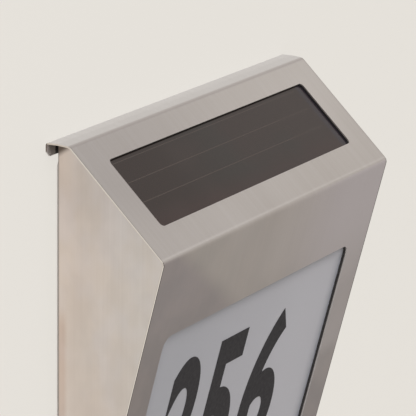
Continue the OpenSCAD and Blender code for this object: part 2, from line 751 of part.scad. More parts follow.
// Strip of LEDs under the partition, shining down behind the opal sheet
module led_board() color("white") difference() {
    translate([-led_board_l / 2, -led_d - led_board_w / 2, led_board_z])
        cube([led_board_l, led_board_w, led_board_t]);
    for (side = [-1, 1]) translate([side * led_screw_x, -led_d, led_board_z - over])
        cylinder(r = small_screw_r + play, h = 4 * over);
}
module leds() color("lightyellow") for (i = [0:led_count - 1])
    translate([(i - (led_count - 1) / 2) * led_pitch, -led_d, led_board_z - led_t / 2])
        cube([led_w, led_l, led_t], center = true);
module led_screws() color("lightgray") for (side = [-1, 1])
    translate([side * led_screw_x, -led_d, led_board_z]) {
        cylinder(r = small_screw_r, h = led_boss_h);
        translate([0, 0, -small_head_t]) cylinder(r = 2 * small_screw_r, h = small_head_t);
    }

// Push button through the rear cover, with its plunger over the switch
module power_button() color("dimgray") {
    difference() {
        bar(button_r, button_x, button_z, [button_out, collar_end + play]);
        translate([button_x, dish_r - dish_depth - button_out, button_z]) sphere(r = dish_r);
    }
    bar(button_r + button_flange, button_x, button_z, from(collar_end + play, button_flange_t));
    bar(plunger_r, button_x, button_z, from(button_back - plunger_l, plunger_l));
}
module button_seal() color("black")
    translate([button_x, -collar_end + collar_l / 2, button_z]) rotate([90, 0, 0])
        rotate_extrude() translate([button_r + groove_t / 2 + running, 0])
            circle(r = groove_t / 2 - running);

// Foam pads that keep the light off the plate
module spacer_pads() color("dimgray")
    for (side = [-1, 1], z = [cutout_top - pad_drop, cutout_bottom + pad_rise])
        bar(pad_r, side * (plate_w + cutout_w) / 4, z, [plate_t + running, rim_d]);

// Stamped plate on the wall: joggled tongue, cut-out and a tab for the lock screw
module wall_plate() color("gainsboro") difference() {
    intersection() {
        across(plate_w) polygon(folded([[tab_d, tab_z - plate_t], [0, tab_z - plate_t],
            [0, joggle_z], [tongue_gap, joggle_z + tongue_gap], [tongue_gap, tongue_top]],
            [0, 1.5 * plate_t, joggle_bend, joggle_bend, 0], plate_t));
        union() {
            upright(plate_w, tongue_top - plate_foot, plate_r, [-over, shell_d],
                0, (tongue_top + plate_foot) / 2);
            block([-tab_w, tab_w] / 2, [tab_z - 2 * plate_t, plate_foot + plate_r], [-over, shell_d]);
        }
    }
    upright(cutout_w, cutout_top - cutout_bottom, cutout_r, [-over, 2 * plate_t],
        0, (cutout_top + cutout_bottom) / 2);
    for (side = [-1, 1]) {
        for (end = [-1, 1])
            bar(screw_hole_r, side * screw_pitch_x / 2 + end * (slot_l / 2 - screw_hole_r), 0,
                [-over, 2 * plate_t]);
        block(about(side * screw_pitch_x / 2, slot_l / 2 - screw_hole_r),
            about(0, screw_hole_r), [-over, 2 * plate_t]);
        bar(screw_hole_r, side * screw_pitch_x / 2, -screw_pitch_z, [-over, 2 * plate_t]);
    }
    translate([0, -lock_d, tab_z - 2 * plate_t]) cylinder(r = lock_r + fit, h = 4 * plate_t);
}

// Nut welded over the hole in the shell's foot, and the screw that locks the light down
module lock_nut() color("silver") translate([0, -lock_d, bottom_z + sheet_t]) difference() {
    cylinder(r = 2 * lock_r + play, h = nut_t, $fn = 6);
    translate([0, 0, -over]) cylinder(r = lock_r + running, h = nut_t + 2 * over);
}
module lock_screw() color("silver") translate([0, -lock_d, tab_z - plate_t]) {
    cylinder(r = lock_r, h = lock_l);
    dome = lock_head_t / 2;
    rotate_extrude() polygon(concat([[0, 0], [2 * lock_r, 0]],
        [for (a = [0:15:90]) [2 * lock_r - dome + dome * cos(a), -dome - dome * sin(a)]],
        [[0, -lock_head_t]]));
}

wrap_shell();
left_cheek();
right_cheek();
solar_gasket();
solar_panel();
opal_gasket();
opal_diffuser();
inner_housing();
rear_cover();
cover_gasket();
cover_screws();
housing_screws();
battery_door();
hinge_pin();
door_seal();
battery_cell();
battery_spring();
battery_contact();
control_board();
tact_switch();
charge_chip();
inductor();
capacitor();
board_connectors();
board_screws();
led_board();
leds();
led_screws();
power_button();
button_seal();
spacer_pads();
wall_plate();
lock_nut();
lock_screw();
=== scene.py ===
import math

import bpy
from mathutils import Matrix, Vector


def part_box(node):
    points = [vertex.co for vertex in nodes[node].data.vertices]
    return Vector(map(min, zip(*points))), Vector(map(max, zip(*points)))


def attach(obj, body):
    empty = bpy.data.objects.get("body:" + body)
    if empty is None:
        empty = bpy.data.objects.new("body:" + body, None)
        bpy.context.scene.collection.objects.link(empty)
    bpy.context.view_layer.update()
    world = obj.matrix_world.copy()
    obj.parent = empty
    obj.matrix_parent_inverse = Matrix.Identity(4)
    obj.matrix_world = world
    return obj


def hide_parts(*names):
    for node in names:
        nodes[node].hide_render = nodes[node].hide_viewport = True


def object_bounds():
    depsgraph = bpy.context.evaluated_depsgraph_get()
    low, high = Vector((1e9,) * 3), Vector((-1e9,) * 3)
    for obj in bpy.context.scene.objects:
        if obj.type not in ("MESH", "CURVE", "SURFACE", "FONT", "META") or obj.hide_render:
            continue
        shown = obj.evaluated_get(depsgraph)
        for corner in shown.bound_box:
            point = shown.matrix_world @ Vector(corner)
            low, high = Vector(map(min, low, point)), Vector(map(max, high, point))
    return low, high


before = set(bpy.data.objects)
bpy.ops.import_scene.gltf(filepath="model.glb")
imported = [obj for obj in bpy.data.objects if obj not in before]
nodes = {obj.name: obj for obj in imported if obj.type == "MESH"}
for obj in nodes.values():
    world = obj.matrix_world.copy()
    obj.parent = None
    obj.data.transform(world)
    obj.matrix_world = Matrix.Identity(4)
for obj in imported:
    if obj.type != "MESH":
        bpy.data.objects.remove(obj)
cad_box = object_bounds()

# %% [markdown]
# # A solar wall light in brushed stainless steel
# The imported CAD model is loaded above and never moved. Everything below dresses it: a camera and a
# pale wall, a finish for each real material, and the small pieces that a CAD model leaves out. All
# sizes are metres in the model's own frame: the wall is the plane y = 0 and the front faces -Y.

MM = 0.001
scene = bpy.context.scene


def clear_selection():
    """Back to object mode with nothing selected, because an operator acts on all that is."""
    if bpy.context.mode != "OBJECT":
        bpy.ops.object.mode_set(mode="OBJECT")
    bpy.ops.object.select_all(action="DESELECT")


def corners(points):
    """The lowest and the highest corner of the box round some points."""
    return [Vector(f(p[i] for p in points) for i in range(3)) for f in (min, max)]


def size_text(piece):
    """A piece's width, depth and height in millimetres, to print."""
    low, high = corners([v.co for v in piece.data.vertices])
    return " x ".join(f"{side / MM:.1f}" for side in high - low) + " mm"


sides = [round(side / MM, 1) for side in cad_box[1] - cad_box[0]]
print(len(nodes), "CAD nodes; the light measures", sides, "mm")

# %% [markdown]
# ## Camera
# The photograph is taken from the left and a little above, through a long lens, so the light's
# parallel edges hardly converge. The place and turn below come from matching the model's edges to
# the edges in the picture. A camera can be aimed with a constraint, but a matrix of its three
# directions keeps the slight roll as well.

# %% Camera
CAMERA_PLACE, LENS, SENSOR_WIDTH = (-0.9442, -0.5665, 0.2907), 246.26, 36
CAMERA_RIGHT = (0.50589, -0.86248, 0.01444)
CAMERA_UP = (0.22756, 0.14959, 0.96221)
CAMERA_BACK = (-0.83204, -0.48348, 0.27194)
bpy.ops.object.camera_add()
camera = bpy.context.object
camera.name = "photo_camera"
camera.data.sensor_width = SENSOR_WIDTH
camera.data.lens = LENS
aim = Matrix((CAMERA_RIGHT, CAMERA_UP, CAMERA_BACK)).transposed().to_4x4()
camera.matrix_world = Matrix.Translation(CAMERA_PLACE) @ aim
scene.camera = camera
print("camera at", tuple(round(v, 3) for v in camera.location), "lens", camera.data.lens)

# %% [markdown]
# ## Colours and nodes
# Colours are picked as sRGB hex, as a paint card gives them, but Blender's sockets take linear
# light, so one function turns the first into the second. Another feeds a socket, and put adds a node
# and feeds all of its sockets. Three settings come back often: SOFT makes a Map Range node rise in a
# soft step, OVER makes a Mix node lay a share of its second colour over its first, and TIMES makes it
# multiply them.

# %% Colours and nodes
SOFT = {"interpolation_type": "SMOOTHSTEP"}
OVER = {"data_type": "RGBA"}
TIMES = {"data_type": "RGBA", "blend_type": "MULTIPLY"}


def linear(code):
    """An sRGB hex colour as linear red, green, blue and alpha."""
    levels = [int(code[i:i + 2], 16) / 255 for i in (0, 2, 4)]
    return (*(c / 12.92 if c <= 0.04045 else ((c + 0.055) / 1.055) ** 2.4 for c in levels), 1.0)


def feed(tree, socket, value):
    """Links a node, or one of its outputs, to a socket, or sets the socket to a colour or number."""
    if isinstance(value, bpy.types.Node):
        value = next(output for output in value.outputs if output.enabled)
    if isinstance(value, bpy.types.NodeSocket):
        tree.links.new(value, socket)
    else:
        socket.default_value = linear(value) if isinstance(value, str) else value


def put(tree, kind, *inputs, **named):
    """Adds a node: its inputs in order, or named with a capital, and its settings in small letters."""
    node = tree.nodes.new("ShaderNode" + kind)
    for name in filter(str.islower, named):
        setattr(node, name, named[name])
    for socket, value in zip([s for s in node.inputs if s.enabled], inputs):
        feed(tree, socket, value)
    for name in (name for name in named if not name.islower()):
        feed(tree, node.inputs[name], named[name])
    return node


print("the hex colour e8e5e3 in linear light:", [round(v, 3) for v in linear("e8e5e3")])

# %% [markdown]
# ## Wall and floor
# A wall light is photographed on its wall. The wall and a floor below it are single planes. Seen
# from behind they turn clear, so that the back of the light can be looked at too, and they cast no
# shadow, so that the lamp behind them reaches it. To the camera and in mirrors they are an even
# paint, with only a small share of the real light and shadow in it.

# %% Backdrop paint
SHADOW_SHARE = 0.11


def backdrop_finish(name, colour, seen_colour):
    """Matt paint with a soft share of the shadows, clear from behind, that casts none itself."""
    material = bpy.data.materials.new(name)
    material.use_nodes = True
    tree = material.node_tree
    tree.nodes.clear()
    paint = put(tree, "BsdfDiffuse", Color=colour)
    plain = put(tree, "Emission", Color=seen_colour, Strength=1.0)
    clear = put(tree, "BsdfTransparent")
    ray = put(tree, "LightPath").outputs
    behind = put(tree, "NewGeometry").outputs["Backfacing"]
    unseen = put(tree, "Math", behind, ray["Is Shadow Ray"], operation="MAXIMUM")
    looked_at = put(tree, "Math", ray["Is Camera Ray"], ray["Is Glossy Ray"], operation="MAXIMUM")
    looked_at = put(tree, "Math", looked_at, ray["Is Transmission Ray"], operation="MAXIMUM")
    share = put(tree, "Math", looked_at, 1 - SHADOW_SHARE, operation="MULTIPLY")
    face = put(tree, "MixShader", share, paint, plain)
    put(tree, "OutputMaterial", Surface=put(tree, "MixShader", unseen, face, clear))
    print(name, "keeps", SHADOW_SHARE, "of the light and shadow")
    return material


wall_paint = backdrop_finish("matt_wall_paint", "efece6", "e7e3dc")
floor_paint = backdrop_finish("pale_floor_paint", "e4e0d9", "e2ddd5")

# %% [markdown]
# The planes are far larger than the light, so that their edges stay outside the photograph's view.
# The wall stands a little behind y = 0, so that it isn't in one plane with the wall plate's back.

# %% Wall and floor
WALL_PLACE, WALL_TURN = (0, 0.4 * MM, 0.2), (math.pi / 2, 0, 0)
FLOOR_PLACE, FLOOR_TURN = (0, -0.4, -0.62), (0, 0, 0)


def backdrop(name, width, depth, place, turn, material):
    """One plane of the stage."""
    clear_selection()
    bpy.ops.mesh.primitive_plane_add(size=1, location=place, rotation=turn)
    plane = bpy.context.object
    plane.name = name
    plane.scale = (width, depth, 1)
    bpy.ops.object.transform_apply(location=True, rotation=True, scale=True)
    plane.data.materials.append(material)
    print(name, size_text(plane))


backdrop("studio_wall", 2.4, 1.8, WALL_PLACE, WALL_TURN, wall_paint)
backdrop("studio_floor", 1.0, 0.8, FLOOR_PLACE, FLOOR_TURN, floor_paint)

# %% [markdown]
# ## Light
# Brushed steel shows the room more than it shows itself. A nearly even world, a little darker below,
# gives each face its plain level. One large lamp from the upper left lightens the faces that look up.
# A second lamp to the right is what the sloping top mirrors towards the camera. The last one stands
# behind the wall, for views of the back.

# %% World
ROOM_BELOW, ROOM_ABOVE = 0.42, 0.52
world = bpy.data.worlds.new("studio_world")
scene.world = world
world.use_nodes = True
sky = world.node_tree
sky.nodes.clear()
height = put(sky, "SeparateXYZ", put(sky, "TexCoord").outputs["Generated"]).outputs["Z"]
level = put(sky, "MapRange", height, -0.9, 0.1, ROOM_BELOW, ROOM_ABOVE, **SOFT)
room = put(sky, "Background", Color="fff7ef", Strength=level)
seen_room = put(sky, "Background", Color="e5e1da", Strength=1.0)
camera_ray = put(sky, "LightPath").outputs["Is Camera Ray"]
put(sky, "OutputWorld", Surface=put(sky, "MixShader", camera_ray, room, seen_room))
scene.view_settings.view_transform = "Standard"
print("the room's light goes from", ROOM_BELOW, "below to", ROOM_ABOVE, "above")

# %% [markdown]
# The lamps are square softboxes, because a large lamp gives soft shadows and broad highlights. An area
# lamp shines along its own -Z, so each is turned until that axis points at its target.

# %% Lamps
def soft_lamp(name, place, target, width, watts, colour="ffffff"):
    """A square softbox that faces its target."""
    clear_selection()
    bpy.ops.object.light_add(type="AREA", location=place)
    lamp = bpy.context.object
    lamp.name = name
    lamp.data.shape = "SQUARE"
    lamp.data.size = width
    lamp.data.energy = watts
    lamp.data.color = linear(colour)[:3]
    lamp.rotation_euler = (Vector(target) - Vector(place)).to_track_quat("-Z", "Y").to_euler()
    print(name, watts, "W at", place)


soft_lamp("key_softbox", (-0.5, -0.9, 1.3), (0, 0, -0.05), 1.2, 17, "f2f6ff")
soft_lamp("slope_softbox", (1.4, -0.5, 1.1), (0, 0, 0), 0.9, 0.4)
soft_lamp("rear_softbox", (0.4, 1.4, 0.7), (0, 0, -0.05), 1.0, 14)

# %% [markdown]
# ## How a finish is built
# Each finish starts from Blender's Principled shader, with typical numbers for the real material.
# Real surfaces are never even, so a noise pattern, given its size in millimetres along X, Y and Z,
# then stirs the colour, the roughness and the height a little. Long thin blotches make brushing,
# small round ones make moulded or sprayed grain. Most real grain is finer than a pixel, so it is
# drawn coarser than life, at the size that its cell gives.

# %% A finish and its patterns
def finish(name, colour, roughness, metallic=0.0, **sockets):
    """A Principled material of one colour, to which patterns are added."""
    material = bpy.data.materials.new(name)
    material.use_nodes = True
    tree = material.node_tree
    shader = tree.nodes["Principled BSDF"]
    values = {"Base_Color": colour, "Roughness": roughness, "Metallic": metallic, **sockets}
    for socket, value in values.items():
        feed(tree, shader.inputs[socket.replace("_", " ")], value)
    return material, tree, shader


def blotches(tree, size, detail=2.0):
    """Noise from 0 to 1 whose blotches measure so many mm along X, Y and Z."""
    place = put(tree, "TexCoord").outputs["Object"]
    sized = put(tree, "Mapping", Vector=place, Scale=[1 / (side * MM) for side in size])
    return put(tree, "TexNoise", Vector=sized, Scale=1.0, Detail=detail)


print("blotches of 10 mm need a noise scale of", round(1 / (10 * MM)))

# %% [markdown]
# A pattern enters the colour as the share of a Mix node, the roughness through a Map Range node and
# the height through a Bump node. The finished material then takes the place of the plain one that a
# CAD node comes with.

# %% Stir and dress
NOISE_LOW, NOISE_HIGH = 0.3, 0.7


def stirred(tree, shader, pattern, colours=None, roughness=None, height=None):
    """Lets a pattern vary the colour between two, the roughness between two, and the height by mm."""
    if colours:
        feed(tree, shader.inputs["Base Color"], put(tree, "Mix", pattern, *colours, **OVER))
    if roughness:
        span = put(tree, "MapRange", pattern, NOISE_LOW, NOISE_HIGH, *roughness)
        feed(tree, shader.inputs["Roughness"], span)
    if height:
        bump = put(tree, "Bump", Strength=1.0, Distance=height * MM, Height=pattern)
        feed(tree, shader.inputs["Normal"], bump)


def dress(material, *names):
    """Gives CAD nodes their finish."""
    for name in names:
        nodes[name].data.materials.clear()
        nodes[name].data.materials.append(material)
    print(material.name, "on", ", ".join(names))


print("a pattern is counted from", NOISE_LOW, "to", NOISE_HIGH, "where noise seldom goes beyond")

# %% [markdown]
# ## Where on a piece a finish changes
# Some finishes change with the place on the piece. The Object coordinates give that place, and the
# normal tells which way a surface faces. A Mapping node turns the coordinates onto the shell's slope
# or front: X then runs across, Y up the face from its upper fold, and Z out of it.

# %% Place and facing
SLOPE_TURN, SLOPE_START = math.radians(42.85), (0, -10.5 * MM, 25.7 * MM)
FRONT_TURN, FRONT_START = math.radians(90 + 14.25), (0, -52 * MM, -12.8 * MM)
SLOPE_LENGTH, HALF_WIDTH = 56.6 * MM, 90 * MM


def parts(tree, output):
    """X, Y and Z of a point's place, called Object, or of its Normal."""
    return put(tree, "SeparateXYZ", put(tree, "TexCoord").outputs[output]).outputs


def on_face(tree, start, turn):
    """The place as seen from a sloping face: X across, Y up the face, Z out of it."""
    place = put(tree, "TexCoord").outputs["Object"]
    local = put(tree, "Mapping", place, start, (turn, 0, 0), vector_type="TEXTURE")
    return put(tree, "SeparateXYZ", local).outputs


def face_mask(tree, axis, low, high):
    """1 where the surface's normal points along an axis, such as a sheet's cut end."""
    size = put(tree, "Math", parts(tree, "Normal")[axis], operation="ABSOLUTE")
    return put(tree, "MapRange", size, low, high)


slope_degrees = round(math.degrees(SLOPE_TURN), 2)
print("the slope is", SLOPE_LENGTH / MM, "mm long and rises at", slope_degrees, "degrees")

# %% [markdown]
# ## Brushed stainless steel, on the folded sheet
# The shell is one sheet of stainless steel, ground with a belt before it was folded. The belt leaves
# fine parallel scratches that run over the bends from the lip to the foot, at right angles to X. They
# stretch each reflection sideways, which the shader's anisotropy does. A real scratch is a few
# hundredths of a millimetre wide and would not show, so they are drawn 0.9 mm wide.

# %% Brushed steel for the shell
GRAIN_OVER_BENDS, GRAIN_UPRIGHT = (0.9, 70, 70), (0.9, 0.9, 80)


def brushed_steel(name, dark, light, scratch):
    """Steel with scratches of the given size, clouded a little."""
    material, tree, shader = finish(name, light, 0.3, 1.0, Anisotropic=0.5, Anisotropic_Rotation=0.25)
    streaks = blotches(tree, scratch)
    cloud = blotches(tree, (55, 55, 55), 1.0)
    shade = put(tree, "Math", streaks, 0.5, cloud, operation="MULTIPLY_ADD")
    shade = put(tree, "MapRange", shade, 0.45, 1.05)
    stirred(tree, shader, streaks, roughness=(0.28, 0.35), height=0.0015)
    feed(tree, shader.inputs["Tangent"], put(tree, "Tangent", direction_type="RADIAL", axis="X"))
    return material, tree, shader, put(tree, "Mix", shade, dark, light, **OVER)


shell_steel, tree, shader, colour = brushed_steel(
    "brushed_stainless_sheet", "dcd8d5", "e8e5e3", GRAIN_OVER_BENDS)
_, slope_y, slope_z = on_face(tree, SLOPE_START, SLOPE_TURN)
x, front_y, front_z = on_face(tree, FRONT_START, FRONT_TURN)
depth = parts(tree, "Object")["Y"]
front = face_mask(tree, "Y", 0.85, 0.95)
strip = put(tree, "MapRange", depth, -12 * MM, -9 * MM, **SOFT)
print(shell_steel.name, "has scratches of", GRAIN_OVER_BENDS, "mm")

# %% [markdown]
# Plain lamps and an even world give the steel little to mirror, so its broad gradients are painted
# into its colour here, by the place on the sheet. The front gets a painted reflection of something
# bright. That painted light is strongest at the upper right: it fades to the left and downwards, and
# a slanting edge crosses the lower left. One number says how much of it a point has.

# %% The light that the front mirrors
SLANT, EDGE_START, EDGE_END = 1.5, -84 * MM, -66 * MM
AT_LEFT, AT_RIGHT, PAST_EDGE = 0.15, 0.615, 0.385
AT_MIDDLE, AT_FOOT = 0.52, 0.45
lean = put(tree, "Math", front_y, SLANT, operation="MULTIPLY")
aslant = put(tree, "Math", x, lean, operation="ADD")
past = put(tree, "MapRange", aslant, EDGE_START, EDGE_END, **SOFT)
gain = put(tree, "Math", past, PAST_EDGE, operation="MULTIPLY")
across = put(tree, "MapRange", x, -75 * MM, 75 * MM, AT_LEFT, AT_RIGHT, **SOFT)
across = put(tree, "Math", across, gain, operation="ADD")
foot = put(tree, "MapRange", front_y, -92 * MM, -82 * MM, AT_FOOT, 1.0, **SOFT)
upward = put(tree, "MapRange", front_y, -60 * MM, -15 * MM, AT_MIDDLE, 1.0, **SOFT)
upward = put(tree, "Math", foot, upward, operation="MULTIPLY")
# How much painted reflection a point has.
painted_reflection = put(tree, "Math", across, upward, operation="MULTIPLY")
print("the mirrored light goes from", AT_LEFT, "at the left to", AT_RIGHT + PAST_EDGE, "at the right")

# %% [markdown]
# Colours go with that painted light. Where it is missing the front is a mauve painted shade, darker
# lower down, warmer past the slanting edge, and clouded. Where it is full, the right half turns a
# little cooler. The slope has painted shade, darkest at its upper left, and the strip along its top
# has one even, slightly cooler level.

# %% The sheet's colours
SLOPE_SHADE_BELOW, COOLEST, CLOUD = 0.55, 0.4, (14, 14, 14)
# Painted shade on the slope, darkest at its upper left.
leftward = put(tree, "MapRange", x, -90 * MM, 70 * MM, 1.0, 0.0, **SOFT)
downward = put(tree, "MapRange", slope_y, -20 * MM, -50 * MM, 1.0, SLOPE_SHADE_BELOW, **SOFT)
painted_slope_shade = put(tree, "Math", leftward, downward, operation="MULTIPLY")
level = put(tree, "Mix", painted_slope_shade, "f3f2f1", "e1e0e1", **OVER)
level = put(tree, "Mix", strip, level, "eeeff3", **OVER)
# Painted shade on the front where its painted reflection is missing, darker lower down.
rise = put(tree, "MapRange", front_y, -60 * MM, -8 * MM, **SOFT)
mauve = put(tree, "Mix", rise, "c2bec1", "cfcbd0", **OVER)
warm = put(tree, "Math", past, upward, operation="MULTIPLY")
mauve = put(tree, "Mix", warm, mauve, "cfcec7", **OVER)
front_level = put(tree, "Mix", painted_reflection, mauve, "fffdff", **OVER)
level = put(tree, "Mix", front, level, front_level, **OVER)
clouds = put(tree, "MapRange", blotches(tree, CLOUD), 0.35, 0.65, **SOFT)
clouds = put(tree, "Math", clouds, front, operation="MULTIPLY")
missing = put(tree, "Math", 1.0, painted_reflection, operation="SUBTRACT")
clouds = put(tree, "Math", clouds, missing, operation="MULTIPLY")
level = put(tree, "Mix", clouds, level, "f5f7f8", **TIMES)
colour = put(tree, "Mix", 1.0, colour, level, **TIMES)
# Painted reflection: the front's right half is cooler where that light is full.
rightward = put(tree, "MapRange", x, 0.0, 60 * MM, 0.0, COOLEST, **SOFT)
cool = put(tree, "Math", front, rightward, operation="MULTIPLY")
cool = put(tree, "Math", cool, painted_reflection, operation="MULTIPLY")
colour = put(tree, "Mix", cool, colour, "e2dfec", **OVER)
print(len(tree.nodes), "nodes in", shell_steel.name, "so far")

# %% [markdown]
# A faint line of painted highlight runs beside the lower fold, and a darker line of painted shade
# beside the upper. Each line is given by its distance down the slope, its reach to both sides, its
# colour and its share.

# %% Painted highlight and shade beside the folds
FOLD_LIGHT_AND_SHADE = ((SLOPE_LENGTH - 1.1 * MM, 1.3 * MM, "efecea", 0.45), (0.2 * MM, 1.2 * MM, "a9a0a0", 0.5))
FOLD_LINE_CORE = 0.2 * MM
for down_slope, reach, fold_tone, share in FOLD_LIGHT_AND_SHADE:
    # Each pass paints a line of highlight or of shade beside a fold.
    away = put(tree, "Math", slope_y, down_slope, operation="ADD")
    away = put(tree, "Math", away, operation="ABSOLUTE")
    fold_share = put(tree, "MapRange", away, reach, FOLD_LINE_CORE, 0.0, share, **SOFT)
    colour = put(tree, "Mix", fold_share, colour, fold_tone, **OVER)
    print("a press mark", round(down_slope / MM, 1), "mm down the slope")

# %% [markdown]
# Along every cut edge a narrow dark line is painted: a painted reflection of something darker, as a
# rounded edge would mirror it. The cut ends themselves are bare metal without scratches, with a
# painted highlight at the sheet's outer skin and a painted shadow where they nearly touch the wall.

# %% Painted edge lines and cut ends
SKIN_DEPTH, EDGE_SHADE_START, EDGE_SHADE_FULL = -0.3 * MM, 0.7 * MM, 0.3 * MM
EDGE_SHADE_ELSEWHERE, EDGE_SHADE_FRONT = 0.25, 0.9
outward = put(tree, "Math", slope_z, front_z, operation="MAXIMUM")
skin = put(tree, "Math", outward, SKIN_DEPTH, operation="GREATER_THAN")
cut_end = face_mask(tree, "X", 0.6, 0.9)
to_end = put(tree, "Math", x, operation="ABSOLUTE")
to_end = put(tree, "Math", HALF_WIDTH, to_end, operation="SUBTRACT")
painted_dark = put(tree, "MapRange", to_end, EDGE_SHADE_START, EDGE_SHADE_FULL, **SOFT)
by_face = put(tree, "MapRange", front, 0.0, 1.0, EDGE_SHADE_ELSEWHERE, EDGE_SHADE_FRONT, **SOFT)
painted_dark = put(tree, "Math", painted_dark, by_face, operation="MULTIPLY")
painted_dark = put(tree, "Math", painted_dark, skin, operation="MULTIPLY")
uncut = put(tree, "Math", 1.0, cut_end, operation="SUBTRACT")
painted_dark = put(tree, "Math", painted_dark, uncut, operation="MULTIPLY")
# Painted reflection: a dark line along the cut edges.
colour = put(tree, "Mix", painted_dark, colour, "4f4743", **OVER)
# The cut ends: a painted highlight at the outer skin, a painted shadow near the wall.
end_colour = put(tree, "Mix", skin, "d6cfc9", "f8f4ee", **OVER)
end_colour = put(tree, "Mix", strip, end_colour, "ded6ce", **OVER)
off_wall = put(tree, "MapRange", depth, -0.6 * MM, -0.8 * MM, **SOFT)
end_colour = put(tree, "Mix", off_wall, "7a706b", end_colour, **OVER)
colour = put(tree, "Mix", cut_end, colour, end_colour, **OVER)
print("edges are rubbed up to", EDGE_SHADE_START / MM, "mm into the face")

# %% [markdown]
# The lip's hidden side, which faces the housing, was never ground. It keeps the mill's matt skin,
# which is no mirror, so the shader doesn't take it for metal. Past a band at each end it is painted
# dark, a painted shadow where it runs in behind the cheeks.

# %% The lip's hidden side
BAND_START, BAND_END = 5.2 * MM, 6.2 * MM
facing = put(tree, "MapRange", parts(tree, "Normal")["Y"], -0.3, -0.8, **SOFT)
at_lip = put(tree, "MapRange", depth, -3 * MM, -1.5 * MM, **SOFT)
matt_side = put(tree, "Math", facing, at_lip, operation="MULTIPLY")
band = put(tree, "MapRange", to_end, BAND_START, BAND_END, **SOFT)
# Painted shadow: dark past a band at each end, behind the cheeks.
shadowed_side = put(tree, "Mix", band, "bbb3ae", "2c2523", **OVER)
colour = put(tree, "Mix", matt_side, colour, shadowed_side, **OVER)
feed(tree, shader.inputs["Base Color"], colour)
feed(tree, shader.inputs["Metallic"], put(tree, "Math", 1.0, matt_side, operation="SUBTRACT"))
dress(shell_steel, "wrap_shell")

# %% [markdown]
# ## Brushed stainless steel, on the end walls
# The two cheeks are cut from the same sheet, with the grain upright. A warmer tone lies in soft clouds
# near the rear edge and goes to plain with the distance from the wall, and lower down one slightly
# darker band runs along the edge. The top, the front part and the lower part are a little darker,
# which is painted shade.

# %% Brushed steel for the cheeks
PAINTED_SHADES = (("Z", -20, 15, "f3f4f6"), ("Y", -7, -18, "f7f7f7"), ("Z", -60, -130, "f8f5f7"))
CLOUDS = (((9, 9, 14), 0.35, 0.65, "f9f9f9"), ((16, 16, 22), 0.38, 0.6, "fefcf8"))
cheek_steel, tree, shader, colour = brushed_steel(
    "warm_toned_stainless", "dfd9d7", "eae6e5", GRAIN_UPRIGHT)
place = parts(tree, "Object")
warm_rear = put(tree, "MapRange", place["Y"], -40 * MM, -6 * MM)
warm_rear = put(tree, "Math", warm_rear, blotches(tree, (30, 22, 60), 1.0), operation="MULTIPLY")
colour = put(tree, "Mix", warm_rear, colour, "ecdacf", **OVER)
# Painted shade: the top, the front part and the lower part are a little darker.
for axis, start, end, shade in PAINTED_SHADES:
    share = put(tree, "MapRange", place[axis], start * MM, end * MM, **SOFT)
    colour = put(tree, "Mix", share, colour, shade, **TIMES)
for size, start, end, shade in CLOUDS:
    share = put(tree, "MapRange", blotches(tree, size), start, end, **SOFT)
    colour = put(tree, "Mix", share, colour, shade, **TIMES)
at_rear = put(tree, "MapRange", place["Y"], -10 * MM, -7.5 * MM, **SOFT)
below = put(tree, "MapRange", place["Z"], -36 * MM, -46 * MM, **SOFT)
rear_band = put(tree, "Math", at_rear, below, operation="MULTIPLY")
colour = put(tree, "Mix", rear_band, colour, "f4ede9", **TIMES)
print(cheek_steel.name, "has scratches of", GRAIN_UPRIGHT, "mm")

# %% [markdown]
# The cheek's upper rear corner lies under the lip and gets a painted shadow. Its bent and cut rear
# edges, which face the wall instead of the room, are painted darker too, as painted shade.

# %% The cheeks' painted shadow at the corner and shade on the edges
CHEEK_REAR, CHEEK_TOP = -4.9 * MM, 25.3 * MM
CORNER_DEPTH, CORNER_HEIGHT = 9 * MM, 6 * MM
DARK_FROM, DARK_FULL = 0.9, 0.35
forward = put(tree, "Math", CHEEK_REAR, place["Y"], operation="SUBTRACT")
forward = put(tree, "Math", forward, CORNER_DEPTH, operation="DIVIDE")
down = put(tree, "Math", CHEEK_TOP, place["Z"], operation="SUBTRACT")
down = put(tree, "Math", down, CORNER_HEIGHT, operation="DIVIDE")
away = put(tree, "Math", forward, down, operation="ADD")
corner = put(tree, "MapRange", away, DARK_FROM, DARK_FULL, **SOFT)
# Painted shadow at the upper rear corner, under the lip.
colour = put(tree, "Mix", corner, colour, "665b54", **OVER)
# Painted shade on the rear edges that face the wall.
colour = put(tree, "Mix", face_mask(tree, "Y", 0.1, 0.6), colour, "7a7068", **OVER)
feed(tree, shader.inputs["Base Color"], colour)
dress(cheek_steel, "left_cheek", "right_cheek")

# %% [markdown]
# ## Plain stainless steel
# The wall plate is the same steel as it leaves the mill, with a soft even sheen and no grain. Pins,
# nuts and screws are drawn and turned, so they are smoother and mirror more sharply.

# %% Plain steels
mill_steel, tree, shader = finish("mill_finish_stainless", "c4c0ba", 0.4, 1.0)
stirred(tree, shader, blotches(tree, (6, 6, 9)), ("bfbab4", "c9c5bf"), (0.36, 0.44), 0.0008)
dress(mill_steel, "wall_plate")
screw_steel, tree, shader = finish("turned_stainless", "cfccc8", 0.25, 1.0)
stirred(tree, shader, blotches(tree, (0.6, 0.6, 0.6)), ("bdb9b4", "d3d0cc"), (0.2, 0.34), 0.004)
dress(screw_steel, "hinge_pin", "lock_nut", "lock_screw", "cover_screws", "housing_screws",
      "board_screws", "led_screws")

# %% [markdown]
# ## Rubber, foam and silicone
# The gaskets are EPDM rubber, cut from sheet: dark, dull, with a fine grain. The pads behind
# the light are closed-cell foam, and the button's cap is moulded silicone. Their grain is drawn
# about 0.4 mm coarse, several times its real size.

